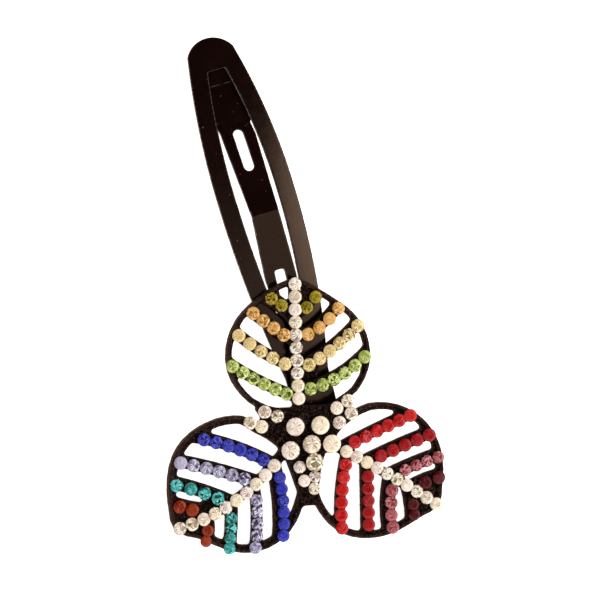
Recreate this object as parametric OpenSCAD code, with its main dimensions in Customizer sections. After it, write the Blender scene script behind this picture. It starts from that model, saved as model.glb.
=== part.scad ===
// Snap hair clip with a pierced clover of cut stones glued over its lower end.
// Millimetres. X runs across the clip, Y along it towards the tongue's free end, Z up from the table.

/* [Clip] */
// Length of the clip from end to end
clip_length = 65; // [60:0.5:70]
// Width of the clip at its widest station
clip_width = 13.4; // [12:0.1:15]
// Height of the arch under the middle of the clip
arch_height = 3.4; // [3.2:0.1:4.2]
// Thickness of the spring steel sheet
sheet = 0.5; // [0.4:0.05:0.6]
// Width of each leg beside the opening
leg_width = 3.1; // [2.6:0.1:3.3]
// Width of the lower end, under the clover
tab_width = 7.5; // [6:0.1:8]
// Distance from the upper end of the clip to its opening
end_plate = 5.55; // [4.8:0.05:6.2]
// Radius of the rounded upper end
end_radius = 4.6; // [4.2:0.1:6]
// Radius of the two corners of the lower end
tab_corner = 1.2; // [0.6:0.1:3]

/* [Tongue] */
// Distance from the upper end of the clip to the tongue's free end
tip_from_end = 4; // [3.5:0.1:4.5]
// Distance from the lower end of the clip to the line that the tongue bends about
root_from_end = 18; // [16:0.1:20]
// Widest width of the tongue
tongue_width = 5.75; // [5.2:0.05:6]
// Height of the tongue's crease above the table
crease_height = 5.8; // [5.2:0.1:6.5]
// Length of the upper slot
slot_length = 7.15; // [6:0.05:7.5]
// Width of the two slots
slot_width = 1.7; // [1.4:0.1:2]
// Clear space between the tongue and the frame
tongue_gap = 0.15; // [0.1:0.05:0.3]
// Turn of the tongue about its waist, seen from above
tongue_turn = -0.6; // [-0.8:0.1:0.8]

/* [Clover] */
// Radius of a leaf, and the distance from the clover's middle to the middle of a leaf
leaf_radius = 12.5; // [11.5:0.25:14]
// Thickness of the casting
plate = 1.6; // [1.2:0.1:2]
// Width of a rib that carries a row of stones
rib_width = 1.7; // [1.3:0.1:2]
// Width of the raised bead along the rims
bead_width = 0.5; // [0.4:0.05:0.7]
// Height of the raised bead
bead_height = 0.35; // [0.2:0.05:0.6]
// Height of the collets under the large stones
collet_height = 0.5; // [0.3:0.1:0.8]
// Wall of the collets outside the large stones
collet_wall = 0.22; // [0.15:0.01:0.3]
// Diameter of the boss that is glued to the clip
boss_diameter = 4.3; // [3.6:0.1:5]
// Height of the boss between the clip and the casting
boss_height = 0.87; // [0.6:0.01:1.2]
// Distance from the lower end of the clip to the boss
boss_from_end = 7.75; // [6:0.05:9]

/* [Stones] */
// Diameter of a small stone
stone = 1.9; // [1.7:0.05:2]
// Diameter of a large stone
large_stone = 2.8; // [2.4:0.1:3]
// Clear space between neighbouring stones
stone_gap = 0.1; // [0.1:0.01:0.2]
// Height of a small stone's girdle above the casting
stone_lift = 0.3; // [0.2:0.05:0.4]

/* [Hidden] */

// Clip, worked out from the sizes above
top_y = clip_length / 2;
widest_y = 0.08 * clip_length;
arch_radius = (top_y ^ 2 + arch_height ^ 2) / (2 * arch_height);
upper_side_radius = 1.81 * clip_length;
lower_side_radius = 2.54 * clip_length;
root_y = root_from_end - top_y;
tip_y = top_y - tip_from_end;
dive_y = tongue_y(0.259);
waist_y = tongue_y(0.623);
corner = 0.4;
plate_gap = 0.12;
hinge_gap = 0.12;

// Tongue's outline: share of its length from the free end, half width as a share of its width
tongue_outline = [
    [0, 0.4], [0.04, 0.45], [0.1, 0.52], [0.24, 0.6], [0.28, 0.5], [0.32, 0.5], [0.38, 0.482],
    [0.507, 0.444], [0.623, 0.413], [0.755, 0.447], [0.88, 0.473], [0.93, 0.455], [0.965, 0.418], [1, 0.373]
];
// Tongue's side view where it lies under the frame: share of its length from the free end,
// depth below its highest place there as a share of the sheet
tongue_tip = [[0, 0], [0.103, 0.4], [0.176, 0.12], [0.259, 0]];
// Tongue's side view from there on: share of its length from the free end,
// underside as a share of the crease's height
tongue_profile = [[0.32, 0.455], [0.476, 0.73], [0.623, 1], [0.755, 0.818], [0.88, 0.655]];
// Two slots: middle as a share of the tongue's length, length as a share of the upper slot,
// corner radius as a share of their width
slots = [[0.366, 1, 0.49], [0.909, 0.75, 0.25]];

// Upper, left and right leaf: direction, width of the rim, and the stones of the two ribs
// that a filled tip lies between
AXIS = 0;
RIM = 1;
TIP = 2;
leaves = [
    [90, 1, "none"],
    [210, 1.45, "smoky"],
    [330, 1.25, "maroon"]
];
// Outline of each leaf about its middle: angle from the leaf's direction,
// then the upper, left and right leaf's radius as shares of the leaf radius
leaf_outlines = [
    [-180, 0.61, 0.74, 0.82], [-165, 0.64, 0.74, 0.82], [-150, 0.7, 0.75, 0.84], [-135, 0.73, 0.78, 0.89],
    [-120, 0.8, 0.89, 0.9], [-90, 0.9, 0.97, 0.91], [-60, 0.96, 1.06, 0.86], [-30, 0.98, 1.08, 0.84],
    [-15, 1.04, 1.11, 0.88], [0, 1.16, 1.16, 0.99], [15, 1.14, 0.99, 0.95], [30, 1.1, 0.94, 0.95],
    [60, 1.1, 0.94, 0.98], [90, 1.04, 0.9, 0.98], [120, 0.89, 0.83, 0.94], [135, 0.8, 0.82, 0.89],
    [150, 0.72, 0.79, 0.85], [165, 0.66, 0.76, 0.82], [180, 0.61, 0.74, 0.82]
];
// Midribs in the leaf's own axes, out and to the left: start, end and bow as shares of
// the leaf radius, then the stones' size as a share of a small stone
midribs = [
    [[0.57, 0.11], [2.09, 0.07], 0.01, 1],
    [[0.58, 0.01], [2.1, -0.01], 0.11, 1],
    [[0.52, 0.09], [1.935, 0], 0.02, 0.97]
];
// Side ribs: leaf, stones, share of the midrib where the rib starts, end and bow as shares of
// the leaf radius, size as a share of a small stone, extra metal to the left and to the right
LEAF = 0;
KIND = 1;
FOOT = 2;
END = 3;
BOW = 4;
SIZE = 5;
LEFT = 6;
RIGHT = 7;
ribs = [
    [0, "olive", 0.69, [1.92, 0.4], -0.02, 0.97, 0.4, 0.5],
    [0, "olive", 0.7, [1.9, -0.2], -0.01, 0.97, 1.4, 0],
    [0, "topaz", 0.49, [1.74, 0.66], 0.01, 1, 0, 0.35],
    [0, "topaz", 0.52, [1.73, -0.5], -0.06, 1, 0.45, 0],
    [0, "jonquil", 0.26, [1.46, 0.87], 0.04, 1, 0, 0.35],
    [0, "jonquil", 0.24, [1.48, -0.75], -0.05, 1, 0.45, 0],
    [0, "peridot", 0, [1.06, 0.98], 0.03, 1, 0, 0.35],
    [0, "peridot", 0.06, [1.06, -0.82], -0.08, 1, 0.45, 0],
    [1, "sapphire", 0, [1.18, -0.81], -0.04, 1, 0, 0.5],
    [1, "lavender", 0.21, [1.61, -0.73], -0.02, 1, 0, 0.6],
    [1, "teal", 0.5, [1.82, -0.51], -0.02, 1, 0, 0.7],
    [1, "smoky", 0.64, [1.94, -0.25], 0.02, 1, 0, 0.65],
    [1, "sapphire", -0.03, [0.99, 0.86], 0.04, 0.95, 0, 0.8],
    [1, "lavender", 0.24, [1.39, 0.78], 0.03, 0.95, 0.2, 0],
    [1, "teal", 0.5, [1.69, 0.59], 0.01, 0.82, 0.4, 0],
    [1, "smoky", 0.75, [1.9, 0.33], 0.02, 0.85, 0.5, 0],
    [2, "red", -0.05, [1.09, 0.9], 0.01, 1, 0.4, 0],
    [2, "dark_red", 0.23, [1.44, 0.78], 0.01, 1, 0.6, 0],
    [2, "rose", 0.5, [1.68, 0.57], 0.01, 0.92, 0.7, 0],
    [2, "maroon", 0.73, [1.81, 0.33], 0.01, 1, 0.65, 0],
    [2, "red", 0.02, [0.92, -0.85], -0.04, 1, 0, 0.1],
    [2, "dark_red", 0.23, [1.23, -0.65], 0, 0.97, 0, 0.3],
    [2, "rose", 0.52, [1.54, -0.54], -0.03, 0.98, 0, 0.8],
    [2, "maroon", 0.7, [1.73, -0.26], 0.01, 0.82, 0, 0.5]
];
// Middle of the casting as shares of the leaf radius
centre_outline = [
    [-0.69, 0.46], [0.59, 0.46], [0.19, -0.2], [0.1, -0.66], [0.07, -0.87],
    [-0.11, -0.87], [-0.2, -0.63], [-0.26, -0.42], [-0.33, -0.2]
];
// Large stones, in steps from one large stone to the next
large_places = [[-0.81, 0.86], [0.66, 0.84], [-1.17, -0.48], [0.09, -0.21], [1.27, -0.27], [0.21, -1.26]];
// Clusters: middle in steps of the large stones, size as a share of a small stone,
// places in steps of the small stones
clusters = [
    [[-2.61, 1.4], 1, [[0.14, 0.61], [1.19, 0.18], [-1.15, -0.21], [-0.19, -0.59]]],
    [[2.12, 1.54], 1, [[0.39, 0.85], [-0.58, 0.3], [0.62, -0.23], [-0.44, -0.92]]],
    [[-0.19, -2.16], 0.93, [[-0.68, 0.98], [0.57, 0.08], [-0.36, -0.18], [0.47, -0.88]]]
];

// Clover's place: its middle from the boss, its turn, and the line of its two feet on the table
middle_from_boss = [-3.25, -11.65];
clover_turn = -12.3;
feet_turn = -9.65;
feet_reach = 1.399 * leaf_radius;
glue_gap = 0.05;
boss_y = boss_from_end - top_y;
feet_normal = [-sin(feet_turn), cos(feet_turn)];
boss_reach = feet_reach - middle_from_boss * feet_normal;
clover_slope = atan((arch_z(boss_y) + sheet + glue_gap + boss_height) / boss_reach);
closing = 0.35;
cup_play = 0.09;
table_share = 0.55;
crown_share = 0.24;
pavilion_share = 0.45;
girdle = 0.1;
step = stone + stone_gap;
large_step = large_stone + stone_gap;

// Height of the arch's underside at a station along the clip
function arch_z(y) = arch_height - arch_radius + sqrt(arch_radius ^ 2 - y ^ 2);
// Station along the clip of a share of the tongue's length
function tongue_y(share) = tip_y - share * (tip_y - root_y);
// Point on a bowed path from a to b
function bowed(a, b, bow, u) =
    let (run = b - a)
    a + u * run + 4 * bow * leaf_radius * u * (1 - u) * [-run.y, run.x] / norm(run);
// Point turned about the origin
function turned(p, angle) = [p.x * cos(angle) - p.y * sin(angle), p.x * sin(angle) + p.y * cos(angle)];
// Point on a leaf's midrib, in the leaf's own axes
function on_midrib(leaf, u) =
    bowed(midribs[leaf][0] * leaf_radius, midribs[leaf][1] * leaf_radius, midribs[leaf][2], u);
// Point on a side rib, in the leaf's own axes
function on_rib(rib, u) =
    bowed(on_midrib(rib[LEAF], rib[FOOT]), rib[END] * leaf_radius, rib[BOW], u);
// Stones along a midrib: x, y and diameter in the clover's axes
function midrib_stones(leaf) =
    let (size = midribs[leaf][3] * stone)
    let (run = norm(on_midrib(leaf, 1) - on_midrib(leaf, 0)))
    let (spaces = floor(run / (size + stone_gap)))
    [for (i = [0 : spaces]) [each turned(on_midrib(leaf, i / spaces), leaves[leaf][AXIS]), size]];
// Share of a side rib that stays bare, so that its first stone clears those of the midrib
function bare_share(rib) =
    let (foot = on_rib(rib, 0))
    let (out = on_rib(rib, 0.03) - foot)
    let (along = on_midrib(rib[LEAF], rib[FOOT] + 0.01) - on_midrib(rib[LEAF], rib[FOOT] - 0.01))
    let (sine = abs(cross(along, out)) / norm(along) / norm(out))
    1.02 * step / sine / norm(on_rib(rib, 1) - foot);
// Stones along a side rib
function rib_stones(rib) =
    let (size = rib[SIZE] * stone)
    let (bare = bare_share(rib))
    let (run = norm(on_rib(rib, 1) - on_rib(rib, 0)) * (1 - bare))
    let (spaces = max(1, floor(run / (size + stone_gap))))
    [for (i = [0 : spaces])
        [each turned(on_rib(rib, bare + (1 - bare) * i / spaces), leaves[rib[LEAF]][AXIS]), size]];
// Stones of one cluster
function cluster_stones(i) =
    let (size = clusters[i][1] * stone)
    [for (place = clusters[i][2]) [each (clusters[i][0] * large_step + place * step), size]];
small_stones = [
    for (leaf = [0 : 2]) each midrib_stones(leaf),
    for (rib = ribs) each rib_stones(rib),
    for (i = [0 : 2]) each cluster_stones(i)
];
large_stones = [for (place = large_places) [each (place * large_step), large_stone]];
// Radius of a leaf's outline at an angle, smoothed between the table's rows
function outline_row(angle, i = 0) = angle < leaf_outlines[i + 1][0] ? i : outline_row(angle, i + 1);
function wrapped(i) = (i + 18) % 18;
function outline_radius(leaf, angle) =
    let (i = outline_row(angle))
    let (r = [for (k = [-1 : 2]) leaf_outlines[wrapped(i + k)][leaf + 1]])
    let (t = (angle - leaf_outlines[i][0]) / (leaf_outlines[i + 1][0] - leaf_outlines[i][0]))
    leaf_radius * (r[1] + (r[2] - r[0]) / 2 * t
        + (r[0] - 2.5 * r[1] + 2 * r[2] - r[3] / 2) * t ^ 2
        + (1.5 * (r[1] - r[2]) + (r[3] - r[0]) / 2) * t ^ 3);

// Solid under a cylinder that runs across the clip
module arch(radius) {
    translate([0, 0, arch_height - arch_radius])
        rotate([0, 90, 0])
            cylinder(h = 4 * clip_width, r = radius, center = true, $fn = 720);
}

// Lens between two arcs of one radius, cut off at the widest station
module half_lens(radius, inset, start_y) {
    intersection() {
        side_circle(-1, radius, inset);
        side_circle(1, radius, inset);
        translate([-clip_width, start_y])
            square([2 * clip_width, clip_length]);
    }
}

module side_circle(side, radius, inset) {
    translate([side * (radius - clip_width / 2), widest_y])
        circle(r = radius - inset, $fn = 720);
}

// Space between the clip's two curved sides, moved in by an inset
module sides(inset) {
    half_lens(upper_side_radius, inset, widest_y);
    half_lens(lower_side_radius, inset, widest_y - clip_length);
}

module clip_outline() {
    intersection() {
        union() {
            sides(0);
            translate([-tab_width / 2, -top_y])
                square([tab_width, boss_from_end + boss_diameter]);
        }
        hull() {
            square([1.2 * clip_width, top_y], center = true);
            translate([0, top_y - end_radius])
                circle(r = end_radius, $fn = 96);
            for (side = [-1, 1])
                translate([side * (tab_width / 2 - tab_corner), tab_corner - top_y])
                    circle(r = tab_corner, $fn = 48);
        }
    }
}

// Opening between the legs, from the hinge line to the end plate
module opening(inset) {
    intersection() {
        sides(leg_width + inset);
        translate([-clip_width, root_y - sheet / 2 - hinge_gap + inset])
            square([2 * clip_width, top_y - end_plate - root_y + sheet / 2 + hinge_gap - inset]);
    }
}

module clip_frame() {
    color("#2b1d18")
        difference() {
            intersection() {
                arch(arch_radius + sheet);
                linear_extrude(arch_height + 2 * sheet)
                    offset(r = corner, $fn = 32)
                        offset(r = -2 * corner, $fn = 32)
                            offset(r = corner, $fn = 32)
                                difference() {
                                    clip_outline();
                                    opening(0);
                                }
            }
            arch(arch_radius);
        }
}

module tongue_plan() {
    difference() {
        intersection() {
            about_waist()
                polygon([
                    for (row = tongue_outline) [row[1] * tongue_width, tongue_y(row[0])],
                    for (i = [len(tongue_outline) - 1 : -1 : 0])
                        [-tongue_outline[i][1] * tongue_width, tongue_y(tongue_outline[i][0])]
                ]);
            union() {
                sides(leg_width + tongue_gap);
                translate([-clip_width / 2, dive_y])
                    square([clip_width, top_y - dive_y]);
            }
        }
        about_waist()
            for (slot = slots)
                translate([0, tongue_y(slot[0])])
                    offset(r = slot[2] * slot_width, $fn = 48)
                        offset(delta = -slot[2] * slot_width)
                            square([slot_width, slot[1] * slot_length], center = true);
    }
}

// Turns the tongue's plan about its waist
module about_waist() {
    translate([0, waist_y])
        rotate(tongue_turn)
            translate([0, -waist_y])
                children();
}

module clip_tongue() {
    under = [
        for (row = tongue_tip)
            let (y = tongue_y(row[0]))
            [y, arch_z(y) - sheet * (1 + row[1]) - plate_gap],
        for (row = tongue_profile) [tongue_y(row[0]), row[1] * crease_height],
        [root_y, arch_z(root_y)]
    ];
    color("#241814")
        union() {
            intersection() {
                linear_extrude(crease_height + 2 * sheet)
                    offset(r = corner, $fn = 32)
                        offset(r = -2 * corner, $fn = 32)
                            offset(r = corner, $fn = 32)
                                tongue_plan();
                rotate([90, 0, 90])
                    linear_extrude(clip_width, center = true)
                        polygon([each under, for (i = [len(under) - 1 : -1 : 0]) under[i] + [0, sheet]]);
            }
            translate([0, root_y, arch_z(root_y) + sheet / 2])
                rotate([0, 90, 0])
                    cylinder(
                        h = 2 * (tongue_outline[len(tongue_outline) - 1][1] * tongue_width - corner),
                        d = sheet, center = true, $fn = 48
                    );
        }
}

// Outline of one leaf, in its own axes
module leaf_outline(leaf) {
    translate([leaf_radius, 0])
        polygon([for (angle = [-180 : 7.5 : 175]) outline_radius(leaf, angle) * [cos(angle), sin(angle)]]);
}

// Strip of metal beside a list of points, so wide to the left and so wide to the right
module strip(points, left, right) {
    normals = [
        for (i = [0 : len(points) - 1])
            let (run = points[min(i + 1, len(points) - 1)] - points[max(i - 1, 0)])
            [-run.y, run.x] / norm(run)
    ];
    polygon([
        for (i = [0 : len(points) - 1]) points[i] + left * normals[i],
        for (i = [len(points) - 1 : -1 : 0]) points[i] - right * normals[i]
    ]);
}

// Rim, midrib, side ribs and filled tip of one leaf
module leaf_metal(leaf) {
    half = rib_width / 2;
    own = [for (rib = ribs) if (rib[LEAF] == leaf) rib];
    difference() {
        leaf_outline(leaf);
        offset(delta = -leaves[leaf][RIM])
            leaf_outline(leaf);
    }
    intersection() {
        leaf_outline(leaf);
        union() {
            strip([for (i = [-2 : 11]) on_midrib(leaf, i / 9)], half, half);
            for (rib = own)
                strip([for (i = [0 : 9]) on_rib(rib, i / 7)], half + rib[LEFT], half + rib[RIGHT]);
            filled_tip(leaf, [for (rib = own) if (rib[KIND] == leaves[leaf][TIP]) rib]);
        }
    }
}

// Solid tip beyond the last two side ribs, if the leaf has one
module filled_tip(leaf, last) {
    past_the_rim = 1.6;
    if (len(last) == 2)
        polygon([
            on_midrib(leaf, last[0][FOOT]),
            on_rib(last[0], past_the_rim),
            [3 * leaf_radius, 0],
            on_rib(last[1], past_the_rim)
        ]);
}

module clover_plan() {
    offset(r = -closing, $fn = 8)
        offset(r = closing, $fn = 8) {
            for (leaf = [0 : 2])
                rotate(leaves[leaf][AXIS])
                    leaf_metal(leaf);
            polygon(centre_outline * leaf_radius);
            for (seat = [for (i = [0 : 2]) each cluster_stones(i), each large_stones])
                translate([seat.x, seat.y])
                    circle(d = seat[2], $fn = 16);
        }
}

// Bead along the outside of the three leaves, kept clear of the stones
module bead_plan() {
    offset(r = -bead_width / 8, $fn = 8)
        offset(r = bead_width / 8, $fn = 8)
            difference() {
                offset(delta = -bead_width / 4)
                    all_leaves();
                offset(delta = -bead_width * 5 / 4)
                    all_leaves();
                offset(delta = stone)
                    polygon(centre_outline * leaf_radius);
                for (seat = small_stones)
                    translate([seat.x, seat.y])
                        circle(d = seat[2] + 4 * stone_gap, $fn = 12);
            }
}

module all_leaves() {
    for (leaf = [0 : 2])
        rotate(leaves[leaf][AXIS])
            leaf_outline(leaf);
}

// Pointed cups under the stones, with as many sides as the stones and
// with the given height of the seat above the casting's back
module cups(seats, top, sides) {
    for (seat = seats) {
        depth = pavilion_share * seat[2] - stone_lift;
        translate([seat.x, seat.y, top - depth - cup_play])
            cylinder(
                h = depth + 2 * cup_play,
                r1 = 0,
                r2 = (depth + 2 * cup_play) / (pavilion_share * 2),
                $fn = sides
            );
    }
}

// Round wall under one large stone, from half way through the casting
module collet(size) {
    cylinder(h = plate / 2 + collet_height, d = size + 2 * collet_wall, $fn = 48);
}

// Puts what is drawn in the clover's own axes where the clover lies
module in_place() {
    translate([middle_from_boss.x, boss_y + middle_from_boss.y, feet_reach * tan(clover_slope)])
        rotate(a = clover_slope, v = [cos(feet_turn), sin(feet_turn), 0])
            rotate(clover_turn)
                children();
}

module clover() {
    boss_top = arch_z(boss_y) + sheet + glue_gap + boss_height;
    color("#2a1c17")
        union() {
            in_place()
                difference() {
                    union() {
                        linear_extrude(plate)
                            clover_plan();
                        translate([0, 0, plate / 2])
                            linear_extrude(plate / 2 + bead_height)
                                bead_plan();
                        for (seat = large_stones)
                            translate([seat.x, seat.y, plate / 2])
                                collet(seat[2]);
                    }
                    cups(small_stones, plate, 8);
                    cups(large_stones, plate + collet_height, 16);
                }
            difference() {
                translate([0, boss_y, 0])
                    cylinder(h = boss_top + plate / 4, d = boss_diameter, $fn = 48);
                arch(arch_radius + sheet + glue_gap);
            }
        }
}

// Cut stone with a flat table, its girdle's underside at the origin's height
module cut_stone(size, sides) {
    turn = 360 / sides;
    crown = girdle + crown_share * size;
    ring = [for (i = [0 : sides - 1]) size / 2 * [cos(i * turn), sin(i * turn)]];
    table = [for (p = ring) table_share * turned(p, turn / 2)];
    polyhedron(
        points = [
            for (p = ring) [each p, girdle],
            for (p = ring) [each p, 0],
            for (p = table) [each p, crown],
            [0, 0, -pavilion_share * size]
        ],
        faces = [
            [for (i = [sides - 1 : -1 : 0]) 2 * sides + i],
            for (i = [0 : sides - 1])
                let (next = (i + 1) % sides)
                each [
                    [i, 2 * sides + i, next],
                    [2 * sides + i, 2 * sides + next, next],
                    [i, next, sides + next, sides + i],
                    [sides + i, sides + next, 3 * sides]
                ]
        ]
    );
}

// Stones on their seats, with the given height of the seat above the casting's back
module set_stones(seats, top, sides) {
    in_place()
        for (seat = seats)
            translate([seat.x, seat.y, top + stone_lift])
                cut_stone(seat[2], sides);
}

module large(i) {
    color("#efe6da")
        set_stones([large_stones[i]], plate + collet_height, 16);
}

module midrib_field(leaf) {
    color("#eadfd2")
        set_stones(midrib_stones(leaf), plate, 8);
}

module field(kind, tint) {
    color(tint)
        set_stones([for (rib = ribs) if (rib[KIND] == kind) each rib_stones(rib)], plate, 8);
}

module cluster(i) {
    color("#efe6da")
        set_stones(cluster_stones(i), plate, 8);
}

clip_frame();
clip_tongue();
clover();
large(0);  // centre_stone_1
large(1);  // centre_stone_2
large(2);  // centre_stone_3
large(3);  // centre_stone_4
large(4);  // centre_stone_5
large(5);  // centre_stone_6
midrib_field(0);  // upper_midrib_stones
midrib_field(1);  // left_midrib_stones
midrib_field(2);  // right_midrib_stones
field("peridot", "#7d8a2a");  // peridot_stones
field("jonquil", "#c9b45a");  // jonquil_stones
field("topaz", "#b98a2e");  // topaz_stones
field("olive", "#6d6a24");  // olive_stones
field("sapphire", "#3a4a86");  // sapphire_stones
field("lavender", "#9b98b4");  // lavender_stones
field("teal", "#4f8a8f");  // teal_stones
field("smoky", "#5b4636");  // smoky_stones
field("red", "#9c1f22");  // red_stones
field("dark_red", "#6d1518");  // dark_red_stones
field("rose", "#b5566a");  // rose_stones
field("maroon", "#4a1519");  // maroon_stones
cluster(0);  // upper_left_cluster
cluster(1);  // upper_right_cluster
cluster(2);  // bottom_cluster
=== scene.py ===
import math
import random

import bmesh
import bpy
from mathutils import Matrix, Vector, noise


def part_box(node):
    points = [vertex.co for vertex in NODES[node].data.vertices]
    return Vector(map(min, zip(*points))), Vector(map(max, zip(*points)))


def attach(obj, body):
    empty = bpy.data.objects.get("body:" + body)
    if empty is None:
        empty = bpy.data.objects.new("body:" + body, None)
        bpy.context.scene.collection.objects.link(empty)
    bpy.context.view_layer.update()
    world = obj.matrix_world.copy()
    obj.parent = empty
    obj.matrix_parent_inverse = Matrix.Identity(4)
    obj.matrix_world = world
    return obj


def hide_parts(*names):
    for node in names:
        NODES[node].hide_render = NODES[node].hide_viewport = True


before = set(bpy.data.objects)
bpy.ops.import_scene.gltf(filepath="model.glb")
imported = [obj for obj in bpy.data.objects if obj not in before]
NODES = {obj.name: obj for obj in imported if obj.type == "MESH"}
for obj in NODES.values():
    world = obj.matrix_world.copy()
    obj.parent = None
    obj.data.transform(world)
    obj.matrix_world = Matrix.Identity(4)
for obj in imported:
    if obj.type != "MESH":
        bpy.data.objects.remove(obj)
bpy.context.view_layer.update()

MM = 0.001
METAL_NODES = ("clip_frame", "clip_tongue", "clover")
# Distance within which two points of a mesh are one
WELD = 0.001 * MM

# Camera: a long lens a little to the clip's left, rolled so that the clip's upper end leans left
CAMERA_LEAN = math.radians(12.0)
CAMERA_ROLL = math.radians(16.58)
CAMERA_DISTANCE = 1.5
SENSOR = 36.0
# Width that the picture takes in, and the point at its middle
FIELD = 0.0998
AIM = Vector((2.14, -13.76, 3.0)) * MM

# Form of the metal: size of the remeshed faces, and how far the clip's sheet bows at its sides
CLIP_VOXEL = 0.12 * MM
CLOVER_VOXEL = 0.2 * MM
CLIP_CROWN = 0.3 * MM
# Angle from which two faces of the clip's sheet meet in a sharp edge
SHARP = math.radians(35.0)
# Lumps of the casting: their depth for one step of noise, the noise's scale, the share and scale
# of the finer lumps in it, and the noise at which the surface stays where it is
LUMP_DEPTH = 0.025 * MM
LUMP_SCALE = 900.0
FINE_LUMPS = 0.5
FINE_LUMP_SCALE = 2.7
LUMP_LEVEL = 0.9

# Painted highlight on edges and walls, palest on the side that faces the light. An edge that stands
# out from its neighbours by the reach gets it in full on that side.
EDGE_REACH = 0.02 * MM
LIT_EDGE_SIDE = Vector((-0.85, -0.5, 0.0))
# Least painted highlight of the sheet's edges and of the casting's, on whatever side, and that of walls
LEAST_SHEET_HIGHLIGHT = 0.0
LEAST_CASTING_HIGHLIGHT = 0.35
WALL_HIGHLIGHT = 0.5
# How fast the mark of a wall fades as it leans, and that of a dull edge grows as it stands out
WALL_FADE = 2.0
DULL_GROWTH = 2.0
# Roughness that walls and the edges facing right gain. They turn metallic too, so that what they
# mirror is as dark as their base: on the edges facing right, away from the light, this is painted shade.
DULL_EDGE = 0.6
# Painted highlight line across the tongue, where it bends: its station, half its width, strength and
# patchiness
BEND_STATION = 24.4 * MM
BEND_HALF = 0.08 * MM
BEND_HIGHLIGHT = 0.3
BEND_GRAIN = 1500.0

# Metal materials, in linear light: darkest and palest base, pale specks painted as glints and the share
# of noise above which they show, painted highlight of edges and walls, painted highlight along folds,
# scale of the fine grain, bumps and roughness
LACQUER = {
    "dark": (0.004, 0.0009, 0.0008),
    "light": (0.0065, 0.0018, 0.0014),
    "speck": (0.12, 0.09, 0.07),
    "speck_share": 0.765,
    "edge_highlight": (0.5, 0.44, 0.38),
    "fold_highlight": None,
    "grain": 700.0,
    "bump": 0.12,
    "roughness": 0.15,
}
CASTING = {
    "dark": (0.001, 0.0004, 0.0004),
    "light": (0.0025, 0.0011, 0.001),
    "speck": (0.12, 0.08, 0.06),
    "speck_share": 0.71,
    "edge_highlight": (0.11, 0.055, 0.046),
    "fold_highlight": (0.07, 0.036, 0.029),
    "grain": 2200.0,
    "bump": 0.8,
    "roughness": 0.2,
}
# Shine of each metal, and the tint of what it mirrors
CLIP_POLISH = 0.52
TONGUE_POLISH = 0.36
CAST_POLISH = 0.045
LACQUER_TINT = (1.0, 0.66, 0.46, 1.0)
# Scales of the slow change of colour, of the painted glint specks and of the painted fold highlights
BROAD_SCALE = 90.0
GLINT_SPECK_SCALE = 2600.0
FOLD_HIGHLIGHT_SCALE = 1100.0
# Noise at which the base is darkest and palest, how softly the painted glint specks begin, and half a
# fold highlight's width
BASE_STOPS = (0.35, 0.7)
SPECK_SOFT = 0.03
FOLD_HIGHLIGHT_HALF = 0.02
# How far the roughness lies below and above its middle, and the height of the bumps
GLOSS_BELOW = 0.06
GLOSS_ABOVE = 0.08
BUMP_HEIGHT = 0.1 * MM

# Sky. It brightens from its dark side to its pale side, between two cosines of the angle to it.
PALE_SIDE = (0.6, -0.8, 0.0)
PALE_FROM = -0.05
PALE_TO = 0.33
DARK_SKY = 0.012
PALE_SKY = 0.8
# Light near the horizon: sines of the heights where it begins, seen from above, and where it is full
UPWARDS = (0.0, 0.0, 1.0)
HORIZON_FROM = 0.7
HORIZON_TO = 0.5
HORIZON_SKY = 1.4
# Round softbox on the clip's right
SOFTBOX_SIDE = (0.68, -0.1, 0.73)
SOFTBOX_INNER = math.radians(21.0)
SOFTBOX_OUTER = math.radians(30.0)
SOFTBOX_SKY = 2.4
# Faint patch overhead, which the clip's left leg mirrors
PATCH_SIDE = (-0.02, -0.04, 1.0)
PATCH_INNER = math.radians(3.0)
PATCH_OUTER = math.radians(13.0)
PATCH_SKY = 0.22

# Floor: its size, colour and roughness, and a light of its own, as on a lit table
FLOOR_SIZE = 2.0
FLOOR_COLOUR = (0.8, 0.8, 0.8, 1.0)
FLOOR_ROUGHNESS = 0.9
FLOOR_GLOW = 0.95
WHITE = (1.0, 1.0, 1.0, 1.0)

# Size of the stones: how much wider than their solids small and large ones show, the least width
# of one, and how far one may lean in its cup
STONE_GROWTH = 1.18
LARGE_GROWTH = 1.1
LEAST_STONE = 2.0 * MM
STONE_TILT = math.radians(5.0)
# Points of a solid beyond this share of its radius are its rim
RIM_SHARE = 0.98
# Decimals of a metre to which the places of the stones are compared when they are sorted
PLACE_DIGITS = 6

# Cut of the stones: number of main facets, reach of the rings of corners as shares of the
# stone's radius, and their heights as shares of its width
CUT = 8
TABLE = 0.6
TABLE_HEIGHT = 0.165
STAR = 0.79
STAR_HEIGHT = 0.1
GIRDLE_HEIGHT = 0.03
FOOT = 0.96
FOOT_HEIGHT = -0.06
# Width of the table's dark slivers in steps of the main facets, and farthest that the facets of
# a table meet from its middle, as a share of the radius
SLIVER = (0.12, 0.36)
OFF_CENTRE = 0.35

# Painted brightness of the facets, from 0 to 1, for the light and dark that each mirrors: range of a
# stone's own, and of its contrast
PLAIN = (0.47, 0.6)
LIVELY = (0.3, 1.5)
# How far each kind of facet lies from the stone's own brightness, for a contrast of 1
SLIVER_DARKER = (0.2, 1.2)
TABLE_SHADES = (-0.4, 0.42)
STAR_SHADES = (-0.5, 0.4)
BEZEL_SHADES = (-0.3, 0.3)
GIRDLE_SHADES = (-0.4, 0.2)
# How much darker girdle facets and the rim are, and the brightness of the back
GIRDLE_DARKER = 0.05
RIM_DARKER = 0.25
BACK = 0.1
# How even the stones of a kind look. At 1 even and lively ones are as common.
EVEN_LARGE = 3.0
EVEN_CALM = 2.5
EVEN_CLEAR = 1.8
EVEN_COLOURED = 0.9
EVEN_CLUSTER = 0.7
CALM = ("red", "dark_red", "maroon", "sapphire", "smoky")
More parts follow.
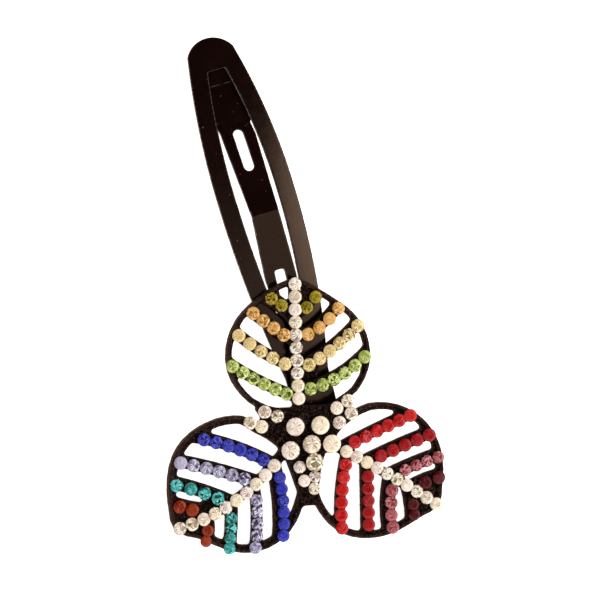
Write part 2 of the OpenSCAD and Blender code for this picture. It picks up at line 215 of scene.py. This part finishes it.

# Kinds of stone: dark, middle and light facets as eight-bit screen colours; the dark and light ones are
# painted reflections and glints
CLEAR = ((168, 149, 133), (242, 226, 211), (255, 252, 242))
KINDS = {
    "peridot": ((95, 105, 35), (171, 181, 101), (226, 235, 158)),
    "jonquil": ((170, 140, 85), (221, 193, 138), (250, 230, 176)),
    "topaz": ((175, 125, 60), (214, 164, 100), (240, 194, 132)),
    "olive": ((70, 50, 10), (152, 134, 38), (198, 180, 85)),
    "sapphire": ((38, 37, 110), (63, 65, 162), (91, 95, 190)),
    "lavender": ((88, 80, 100), (160, 153, 178), (226, 219, 238)),
    "teal": ((24, 65, 62), (65, 152, 145), (127, 223, 216)),
    "smoky": ((98, 31, 10), (138, 57, 24), (176, 92, 49)),
    "red": ((158, 21, 25), (186, 39, 42), (216, 76, 76)),
    "dark_red": ((128, 15, 22), (155, 29, 38), (183, 56, 66)),
    "rose": ((109, 45, 47), (166, 93, 96), (212, 144, 148)),
    "maroon": ((52, 12, 12), (81, 28, 33), (113, 63, 67)),
}
# Colour casts that the clear stones lie between
ROSY = (1.0, 0.96, 0.975)
GOLDEN = (1.0, 0.97, 0.8)
# Brightness at which the dark and middle colours show, and how dark the darkest lines are
DEEP_STOP = 0.2
MIDDLE_STOP = 0.5
LINE_SHARE = 0.4
# Strength and scale of the clouding within facets, and the stones' roughness
CLOUDING = 0.1
CLOUD_SCALE = 900.0
STONE_ROUGHNESS = 0.15
# Polish of the darkest stones, what a white one has more, and the light that a full polish adds
LEAST_POLISH = 0.04
MORE_POLISH = 0.2
POLISH_LIGHT = 0.15
# Light that falls on a stone, as a multiple of what shows its colour as it is, and the least
# colour that a stone has
STONE_LIGHT = 1.05
LEAST_TINT = 0.002

# Colours of the ramps that make masks
BLACK_STOP = (0.0, 0.0, 0.0)
WHITE_STOP = (1.0, 1.0, 1.0)


def tint(colour, polish):
    """A stone's own colour in linear light: the screen colour less what its polish reflects."""
    linear = [c / 255 / 12.92 if c < 11 else ((c / 255 + 0.055) / 1.055) ** 2.4 for c in colour]
    return tuple(max(LEAST_TINT, (c - POLISH_LIGHT * polish) / STONE_LIGHT) for c in linear)


def material(name):
    """A new material, its shader, a function that adds a node and one that joins two."""
    mat = bpy.data.materials.new(name)
    mat.use_nodes = True
    nodes = mat.node_tree.nodes
    links = mat.node_tree.links
    shader = nodes["Principled BSDF"]

    def node(kind, **values):
        made = nodes.new(kind)
        for key, value in values.items():
            if key in made.inputs:
                made.inputs[key].default_value = value
            else:
                setattr(made, key, value)
        return made

    def join(source, socket, target, into):
        links.new(source.outputs[socket], target.inputs[into])

    return mat, shader, node, join


def ramp(node, stops):
    """A colour ramp with the given (place, colour) stops."""
    made = node("ShaderNodeValToRGB")
    while len(made.color_ramp.elements) < len(stops):
        made.color_ramp.elements.new(0.5)
    for element, (place, colour) in zip(made.color_ramp.elements, stops):
        element.position = place
        element.color = (*colour, 1.0)
    return made


def laid_over(node, join, under, share, cover):
    """A node that lays the cover colour over another. Under and share are (node, output) pairs."""
    made = node("ShaderNodeMix", data_type="RGBA")
    made.inputs["B"].default_value = (*cover, 1.0)
    join(*share, made, "Factor")
    join(*under, made, "A")
    return made


def metal(name, polish, dark, light, speck, speck_share, edge_highlight, fold_highlight, grain, bump, roughness):
    """Dark lacquer or casting with uneven colour, painted glint specks, painted highlights along folds,
    edges and walls, painted shade on edges facing right, fine bumps and uneven gloss.
    """
    mat, shader, node, join = material(name)
    place = node("ShaderNodeTexCoord")
    broad = node("ShaderNodeTexNoise", Scale=BROAD_SCALE, Detail=3.0, Roughness=0.6)
    fine = node("ShaderNodeTexNoise", Scale=grain, Detail=4.0, Roughness=0.65)
    glint_noise = node("ShaderNodeTexNoise", Scale=GLINT_SPECK_SCALE, Detail=1.0, Roughness=0.5)
    for texture in (broad, fine, glint_noise):
        join(place, "Object", texture, "Vector")

    # Base with painted glint specks, painted fold highlights and painted highlights on edges and walls
    base = ramp(node, list(zip(BASE_STOPS, (dark, light))))
    join(broad, "Fac", base, "Fac")
    # Pale specks: painted glints
    specks = ramp(node, [(speck_share, BLACK_STOP), (speck_share + SPECK_SOFT, WHITE_STOP)])
    join(glint_noise, "Fac", specks, "Fac")
    body = laid_over(node, join, (base, "Color"), (specks, "Color"), speck)
    # Lines along the casting's folds: painted highlights
    if fold_highlight:
        fold_noise = node("ShaderNodeTexNoise", Scale=FOLD_HIGHLIGHT_SCALE, Detail=2.0, Roughness=0.5)
        join(place, "Object", fold_noise, "Vector")
        stops = [(0.5 - FOLD_HIGHLIGHT_HALF, BLACK_STOP), (0.5, WHITE_STOP), (0.5 + FOLD_HIGHLIGHT_HALF, BLACK_STOP)]
        fold_lines = ramp(node, stops)
        join(fold_noise, "Fac", fold_lines, "Fac")
        body = laid_over(node, join, (body, "Result"), (fold_lines, "Color"), fold_highlight)
    # Pale colour on edges and walls that face the light: painted highlight
    edge = node("ShaderNodeAttribute", attribute_name="edge")
    patchy_highlight = node("ShaderNodeMath", operation="MULTIPLY")
    join(edge, "Fac", patchy_highlight, 0)
    join(fine, "Fac", patchy_highlight, 1)
    body = laid_over(node, join, (body, "Result"), (patchy_highlight, "Value"), edge_highlight)
    join(body, "Result", shader, "Base Color")

    # Gloss, which the dull edges lack
    gloss = node("ShaderNodeMapRange")
    gloss.inputs["To Min"].default_value = roughness - GLOSS_BELOW
    gloss.inputs["To Max"].default_value = roughness + GLOSS_ABOVE
    join(fine, "Fac", gloss, "Value")
    dull_and_shaded = node("ShaderNodeAttribute", attribute_name="dull_and_shaded")
    matt = node("ShaderNodeMath", operation="MULTIPLY_ADD")
    matt.inputs[1].default_value = DULL_EDGE
    join(dull_and_shaded, "Fac", matt, 0)
    join(gloss, "Result", matt, 2)
    join(matt, "Value", shader, "Roughness")
    # Metallic over the dark base: painted shade on the edges facing right
    join(dull_and_shaded, "Fac", shader, "Metallic")

    relief = node("ShaderNodeBump", Strength=bump, Distance=BUMP_HEIGHT)
    join(fine, "Fac", relief, "Height")
    join(relief, "Normal", shader, "Normal")
    shader.inputs["Specular IOR Level"].default_value = polish
    shader.inputs["Specular Tint"].default_value = LACQUER_TINT
    return mat


def stone_material(name, look):
    """Foiled cut glass: each facet's painted brightness, for the light and dark it mirrors, comes from
    the mesh, and is a little clouded.
    """
    mat, shader, node, join = material(name)
    facet = node("ShaderNodeAttribute", attribute_name="facet")
    place = node("ShaderNodeTexCoord")
    cloud = node("ShaderNodeTexNoise", Scale=CLOUD_SCALE, Detail=2.0, Roughness=0.6)
    join(place, "Object", cloud, "Vector")
    blend = node("ShaderNodeMath", operation="MULTIPLY_ADD")
    blend.inputs[1].default_value = CLOUDING
    join(cloud, "Fac", blend, 0)
    join(facet, "Fac", blend, 2)
    polish = LEAST_POLISH + MORE_POLISH * max(look[1]) / 255
    deep, middle, light = (tint(colour, polish) for colour in look)
    line = tuple(LINE_SHARE * part for part in deep)
    low = CLOUDING / 2
    shade = ramp(node, [(low, line), (DEEP_STOP + low, deep), (MIDDLE_STOP + low, middle), (1.0, light)])
    join(blend, "Value", shade, "Fac")
    if look == CLEAR:
        hue = node("ShaderNodeAttribute", attribute_name="hue")
        cast = ramp(node, [(0.0, ROSY), (1.0, GOLDEN)])
        join(hue, "Fac", cast, "Fac")
        toned = node("ShaderNodeMix", data_type="RGBA", blend_type="MULTIPLY")
        toned.inputs["Factor"].default_value = 1.0
        join(shade, "Color", toned, "A")
        join(cast, "Color", toned, "B")
        join(toned, "Result", shader, "Base Color")
    else:
        join(shade, "Color", shader, "Base Color")
    shader.inputs["Roughness"].default_value = STONE_ROUGHNESS
    shader.inputs["Specular IOR Level"].default_value = polish
    return mat


def welded(mesh):
    """The mesh as a bmesh, with points that lie together made one."""
    work = bmesh.new()
    work.from_mesh(mesh)
    bmesh.ops.remove_doubles(work, verts=work.verts, dist=WELD)
    return work


def new_object(name, data):
    made = bpy.data.objects.new(name, data)
    bpy.context.scene.collection.objects.link(made)
    return made


def put_on(piece, mat, node, body):
    """Gives a piece its material, hides the CAD node that it stands for and puts it on the body it rides
    on.
    """
    piece.data.materials.clear()
    piece.data.materials.append(mat)
    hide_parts(node)
    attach(piece, body)


def rounded(node, name, voxel):
    """A copy of a CAD node with its sharp edges turned into those of stamped or cast metal."""
    piece = new_object(name, NODES[node].data.copy())
    work = welded(piece.data)
    work.to_mesh(piece.data)
    work.free()
    remesh = piece.modifiers.new("remesh", "REMESH")
    remesh.mode = "VOXEL"
    remesh.voxel_size = voxel
    remesh.adaptivity = 0.0
    smooth = piece.modifiers.new("smooth", "SMOOTH")
    smooth.factor = 0.5
    smooth.iterations = 1
    graph = bpy.context.evaluated_depsgraph_get()
    mesh = bpy.data.meshes.new_from_object(piece.evaluated_get(graph))
    piece.modifiers.clear()
    piece.data = mesh
    for polygon in mesh.polygons:
        polygon.use_smooth = True
    return piece


def roughen(piece):
    """Sinks the surface by soft noise, so that almost all of it stays inside its CAD form."""
    normals = [vertex.normal.copy() for vertex in piece.data.vertices]
    for vertex, normal in zip(piece.data.vertices, normals):
        place = vertex.co * LUMP_SCALE
        lift = noise.noise(place) + FINE_LUMPS * noise.noise(place * FINE_LUMP_SCALE)
        vertex.co += normal * LUMP_DEPTH * (lift - LUMP_LEVEL)


def mark_edges(piece, least_highlight):
    """Stores a painted highlight of edges and walls, most on the side facing the light, and how dull
    they are, which also paints shade on the edges facing right.
    """
    work = bmesh.new()
    work.from_mesh(piece.data)
    highlight = work.verts.layers.float.new("edge")
    dull_and_shaded = work.verts.layers.float.new("dull_and_shaded")
    for vertex in work.verts:
        around = [edge.other_vert(vertex).co for edge in vertex.link_edges]
        middle = sum(around, Vector()) / len(around)
        stands_out = min(1.0, max(0.0, (vertex.co - middle).dot(vertex.normal) / EDGE_REACH))
        wall = max(0.0, 1.0 - WALL_FADE * abs(vertex.normal.z))
        # Painted highlight: strongest on edges and walls that face the light
        faces_light = max(least_highlight, vertex.normal.dot(LIT_EDGE_SIDE))
        vertex[highlight] = faces_light * max(stands_out, WALL_HIGHLIGHT * wall)
        # Edges facing right, away from the light, go matt and metallic: painted shade
        shaded_edge = min(1.0, DULL_GROWTH * stands_out) * max(0.0, vertex.normal.x)
        vertex[dull_and_shaded] = max(shaded_edge, wall)
    work.to_mesh(piece.data)
    work.free()


def mark_bend(piece):
    """Adds a faint painted highlight line across the tongue where it bends near its free end."""
    highlight = piece.data.attributes["edge"].data
    # Painted highlight along the bend
    for vertex in piece.data.vertices:
        if abs(vertex.co.y - BEND_STATION) < BEND_HALF:
            patchy = 0.5 + noise.noise(vertex.co * BEND_GRAIN)
            highlight[vertex.index].value = BEND_HIGHLIGHT * min(1.0, max(0.0, patchy))


def crown(piece):
    """Bows the clip's sheet across its width, as a stamping is, least at its two ends."""
    low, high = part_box("clip_frame")
    half = (high.x - low.x) / 2
    reach = (high.y - low.y) / 2
    for vertex in piece.data.vertices:
        share = 1.0 - (vertex.co.y / reach) ** 2
        vertex.co.z -= CLIP_CROWN * share * (vertex.co.x / half) ** 2


def make_clip():
    sheet = rounded("clip_frame", "clip_frame_sheet", CLIP_VOXEL)
    mark_edges(sheet, LEAST_SHEET_HIGHLIGHT)
    crown(sheet)
    sheet.data.set_sharp_from_angle(angle=SHARP)
    lacquer = metal("clip_lacquer", CLIP_POLISH, **LACQUER)
    put_on(sheet, lacquer, "clip_frame", "clip")


def make_tongue():
    sheet = rounded("clip_tongue", "clip_tongue_sheet", CLIP_VOXEL)
    mark_edges(sheet, LEAST_SHEET_HIGHLIGHT)
    mark_bend(sheet)
    sheet.data.set_sharp_from_angle(angle=SHARP)
    lacquer = metal("tongue_lacquer", TONGUE_POLISH, **LACQUER)
    put_on(sheet, lacquer, "clip_tongue", "tongue")


def make_clover():
    casting = rounded("clover", "clover_casting", CLOVER_VOXEL)
    mark_edges(casting, LEAST_CASTING_HIGHLIGHT)
    roughen(casting)
    put_on(casting, metal("cast_metal", CAST_POLISH, **CASTING), "clover", "clip")


def loose_parts(mesh):
    """Places of the points of each loose solid of a mesh, one list each."""
    work = welded(mesh)
    seen = set()
    parts = []
    for first in work.verts:
        if first in seen:
            continue
        seen.add(first)
        front = [first]
        part = []
        while front:
            vertex = front.pop()
            part.append(vertex.co.copy())
            for edge in vertex.link_edges:
                other = edge.other_vert(vertex)
                if other not in seen:
                    seen.add(other)
                    front.append(other)
        parts.append(part)
    work.free()
    return parts


def clover_normal():
    """Direction that the clover faces: from a large stone's lowest point to its middle."""
    part = loose_parts(NODES["centre_stone_1"].data)[0]
    tip = min(part, key=lambda p: p.z)
    middle = sum(part, Vector()) / len(part)
    return (middle - tip).normalized()


def stone_seats(node, normal):
    """Centre of the girdle and diameter of every stone in a node, sorted by place."""
    seats = []
    for part in loose_parts(NODES[node].data):
        tip = min(part, key=lambda p: p.dot(normal))
        radii = [(p - tip - normal * (p - tip).dot(normal)).length for p in part]
        radius = max(radii)
        rim = [p for p, r in zip(part, radii) if r > RIM_SHARE * radius]
        seats.append((sum(rim, Vector()) / len(rim), 2 * radius))
    seats.sort(key=lambda seat: (round(seat[0].x, PLACE_DIGITS), round(seat[0].y, PLACE_DIGITS)))
    return seats


def add_stone(work, facets, hues, seat, size, normal, dice, evenness):
    """One cut stone: a table split by dark slivers, star, bezel and girdle facets, and a flat back, each
    facet with a painted brightness for the light and dark it mirrors.
    """
    turn = dice.uniform(0.0, 2.0 * math.pi)
    lean_x = Matrix.Rotation(dice.uniform(-STONE_TILT, STONE_TILT), 4, "X")
    lean_y = Matrix.Rotation(dice.uniform(-STONE_TILT, STONE_TILT), 4, "Y")
    upright = normal.to_track_quat("Z", "Y").to_matrix().to_4x4()
    place = Matrix.Translation(seat) @ upright @ lean_x @ lean_y @ Matrix.Rotation(turn, 4, "Z")
    base = dice.uniform(*PLAIN)
    lively = LIVELY[0] + (LIVELY[1] - LIVELY[0]) * dice.random() ** evenness
    hue = dice.random()

    def point(share, height, step):
        angle = 2.0 * math.pi * step / CUT
        reach = share * size / 2
        corner = Vector((reach * math.cos(angle), reach * math.sin(angle), height * size))
        return work.verts.new(place @ corner)

    def shade(shades):
        return base + lively * dice.uniform(*shades)

    def face(corners, value):
        made = work.faces.new(corners)
        made[facets] = min(1.0, max(0.0, value))
        made[hues] = hue

    middle = point(dice.uniform(0.0, OFF_CENTRE), TABLE_HEIGHT, dice.uniform(0.0, CUT))
    table = [point(TABLE, TABLE_HEIGHT, i + 0.5) for i in range(CUT)]
    sliver = [point(TABLE, TABLE_HEIGHT, i + 0.5 + dice.uniform(*SLIVER)) for i in range(CUT)]
    star = [point(STAR, STAR_HEIGHT, i) for i in range(CUT)]
    girdle = [point(1.0, GIRDLE_HEIGHT, i / 2) for i in range(2 * CUT)]
    foot = [point(FOOT, FOOT_HEIGHT, i / 2) for i in range(2 * CUT)]
    # Painted brightness of each facet, for the light and dark it mirrors
    for i in range(CUT):
        after = (i + 1) % CUT
        low = 2 * i + 1
        main = 2 * after
        high = (main + 1) % (2 * CUT)
        face([middle, table[i], sliver[i]], base - lively * dice.uniform(*SLIVER_DARKER))
        face([middle, sliver[i], table[after]], shade(TABLE_SHADES))
        face([table[i], star[after], table[after], sliver[i]], shade(STAR_SHADES))
        face([table[i], star[i], girdle[low], star[after]], shade(BEZEL_SHADES))
        face([star[after], girdle[low], girdle[main]], shade(GIRDLE_SHADES) - GIRDLE_DARKER)
        face([star[after], girdle[main], girdle[high]], shade(GIRDLE_SHADES) - GIRDLE_DARKER)
    for i in range(2 * CUT):
        after = (i + 1) % (2 * CUT)
        face([girdle[i], foot[i], foot[after], girdle[after]], base - RIM_DARKER)
    face(list(reversed(foot)), BACK)


def evenness_of(node):
    """How even the stones of a node look."""
    kind = node.removesuffix("_stones")
    if node.startswith("centre"):
        return EVEN_LARGE
    if kind in CALM:
        return EVEN_CALM
    if kind in KINDS:
        return EVEN_COLOURED
    return EVEN_CLUSTER if "cluster" in node else EVEN_CLEAR


def stone_piece(node, normal):
    """All stones of a node as one mesh, each turned and tilted a little by chance."""
    dice = random.Random(sum(ord(letter) for letter in node))
    growth = LARGE_GROWTH if node.startswith("centre") else STONE_GROWTH
    work = bmesh.new()
    facets = work.faces.layers.float.new("facet")
    hues = work.faces.layers.float.new("hue")
    for seat, size in stone_seats(node, normal):
        shown_size = max(size * growth, LEAST_STONE)
        add_stone(work, facets, hues, seat, shown_size, normal, dice, evenness_of(node))
    mesh = bpy.data.meshes.new(node + "_cut")
    work.to_mesh(mesh)
    work.free()
    return new_object(node + "_cut", mesh)


def look_of(node):
    """Material slot and colours of the stones of a node."""
    kind = node.removesuffix("_stones")
    if kind in KINDS:
        return kind + "_stone", KINDS[kind]
    if node.startswith("centre"):
        return "large_clear_stone", CLEAR
    return "clear_stone", CLEAR


def make_stones():
    normal = clover_normal()
    made = {}
    for node in sorted(set(NODES) - set(METAL_NODES)):
        slot, look = look_of(node)
        if slot not in made:
            made[slot] = stone_material(slot, look)
        put_on(stone_piece(node, normal), made[slot], node, "clip")


def make_floor():
    bpy.ops.mesh.primitive_plane_add(size=FLOOR_SIZE, location=(0.0, 0.0, 0.0))
    floor = bpy.context.object
    floor.name = "floor"
    mat, shader = material("floor")[:2]
    shader.inputs["Base Color"].default_value = FLOOR_COLOUR
    shader.inputs["Roughness"].default_value = FLOOR_ROUGHNESS
    shader.inputs["Emission Color"].default_value = WHITE
    shader.inputs["Emission Strength"].default_value = FLOOR_GLOW
    floor.data.materials.append(mat)


def make_light():
    """A studio sky that is dark behind the clip's upper end, so the lacquer mirrors black there."""
    world = bpy.data.worlds.new("studio")
    bpy.context.scene.world = world
    world.use_nodes = True
    nodes = world.node_tree.nodes
    links = world.node_tree.links
    sky = nodes["Background"]
    sky.inputs["Color"].default_value = WHITE
    place = nodes.new("ShaderNodeTexCoord")

    def glow(direction, start, end, dim, bright):
        """Light that changes from dim to bright between two cosines of the angle to a direction."""
        toward = nodes.new("ShaderNodeVectorMath")
        toward.operation = "DOT_PRODUCT"
        toward.inputs[1].default_value = Vector(direction).normalized()
        edge = nodes.new("ShaderNodeMapRange")
        edge.interpolation_type = "SMOOTHSTEP"
        edge.inputs["From Min"].default_value = start
        edge.inputs["From Max"].default_value = end
        edge.inputs["To Min"].default_value = dim
        edge.inputs["To Max"].default_value = bright
        links.new(place.outputs["Generated"], toward.inputs[0])
        links.new(toward.outputs["Value"], edge.inputs["Value"])
        return edge.outputs["Result"]

    def add(first, second):
        both = nodes.new("ShaderNodeMath")
        links.new(first, both.inputs[0])
        links.new(second, both.inputs[1])
        return both.outputs["Value"]

    pale = glow(PALE_SIDE, PALE_FROM, PALE_TO, DARK_SKY, PALE_SKY)
    softbox = glow(SOFTBOX_SIDE, math.cos(SOFTBOX_OUTER), math.cos(SOFTBOX_INNER), 0.0, SOFTBOX_SKY)
    horizon = glow(UPWARDS, HORIZON_TO, HORIZON_FROM, HORIZON_SKY, 0.0)
    patch = glow(PATCH_SIDE, math.cos(PATCH_OUTER), math.cos(PATCH_INNER), 0.0, PATCH_SKY)
    links.new(add(add(pale, softbox), add(patch, horizon)), sky.inputs["Strength"])


def make_camera():
    data = bpy.data.cameras.new("camera")
    data.sensor_width = SENSOR
    data.lens = SENSOR * CAMERA_DISTANCE / FIELD
    data.clip_start = 0.1
    data.clip_end = 10.0
    back = Vector((-math.sin(CAMERA_LEAN), 0.0, math.cos(CAMERA_LEAN)))
    side = Vector((math.cos(CAMERA_LEAN), 0.0, math.sin(CAMERA_LEAN)))
    along = Vector((0.0, 1.0, 0.0))
    right = math.cos(CAMERA_ROLL) * side - math.sin(CAMERA_ROLL) * along
    up = math.cos(CAMERA_ROLL) * along + math.sin(CAMERA_ROLL) * side
    spin = Matrix((right, up, back)).transposed()
    camera = new_object("camera", data)
    camera.matrix_world = Matrix.Translation(AIM + CAMERA_DISTANCE * back) @ spin.to_4x4()
    bpy.context.scene.camera = camera


bpy.context.scene.view_settings.view_transform = "Standard"
make_camera()
make_clip()
make_tongue()
make_clover()
make_stones()
make_floor()
make_light()
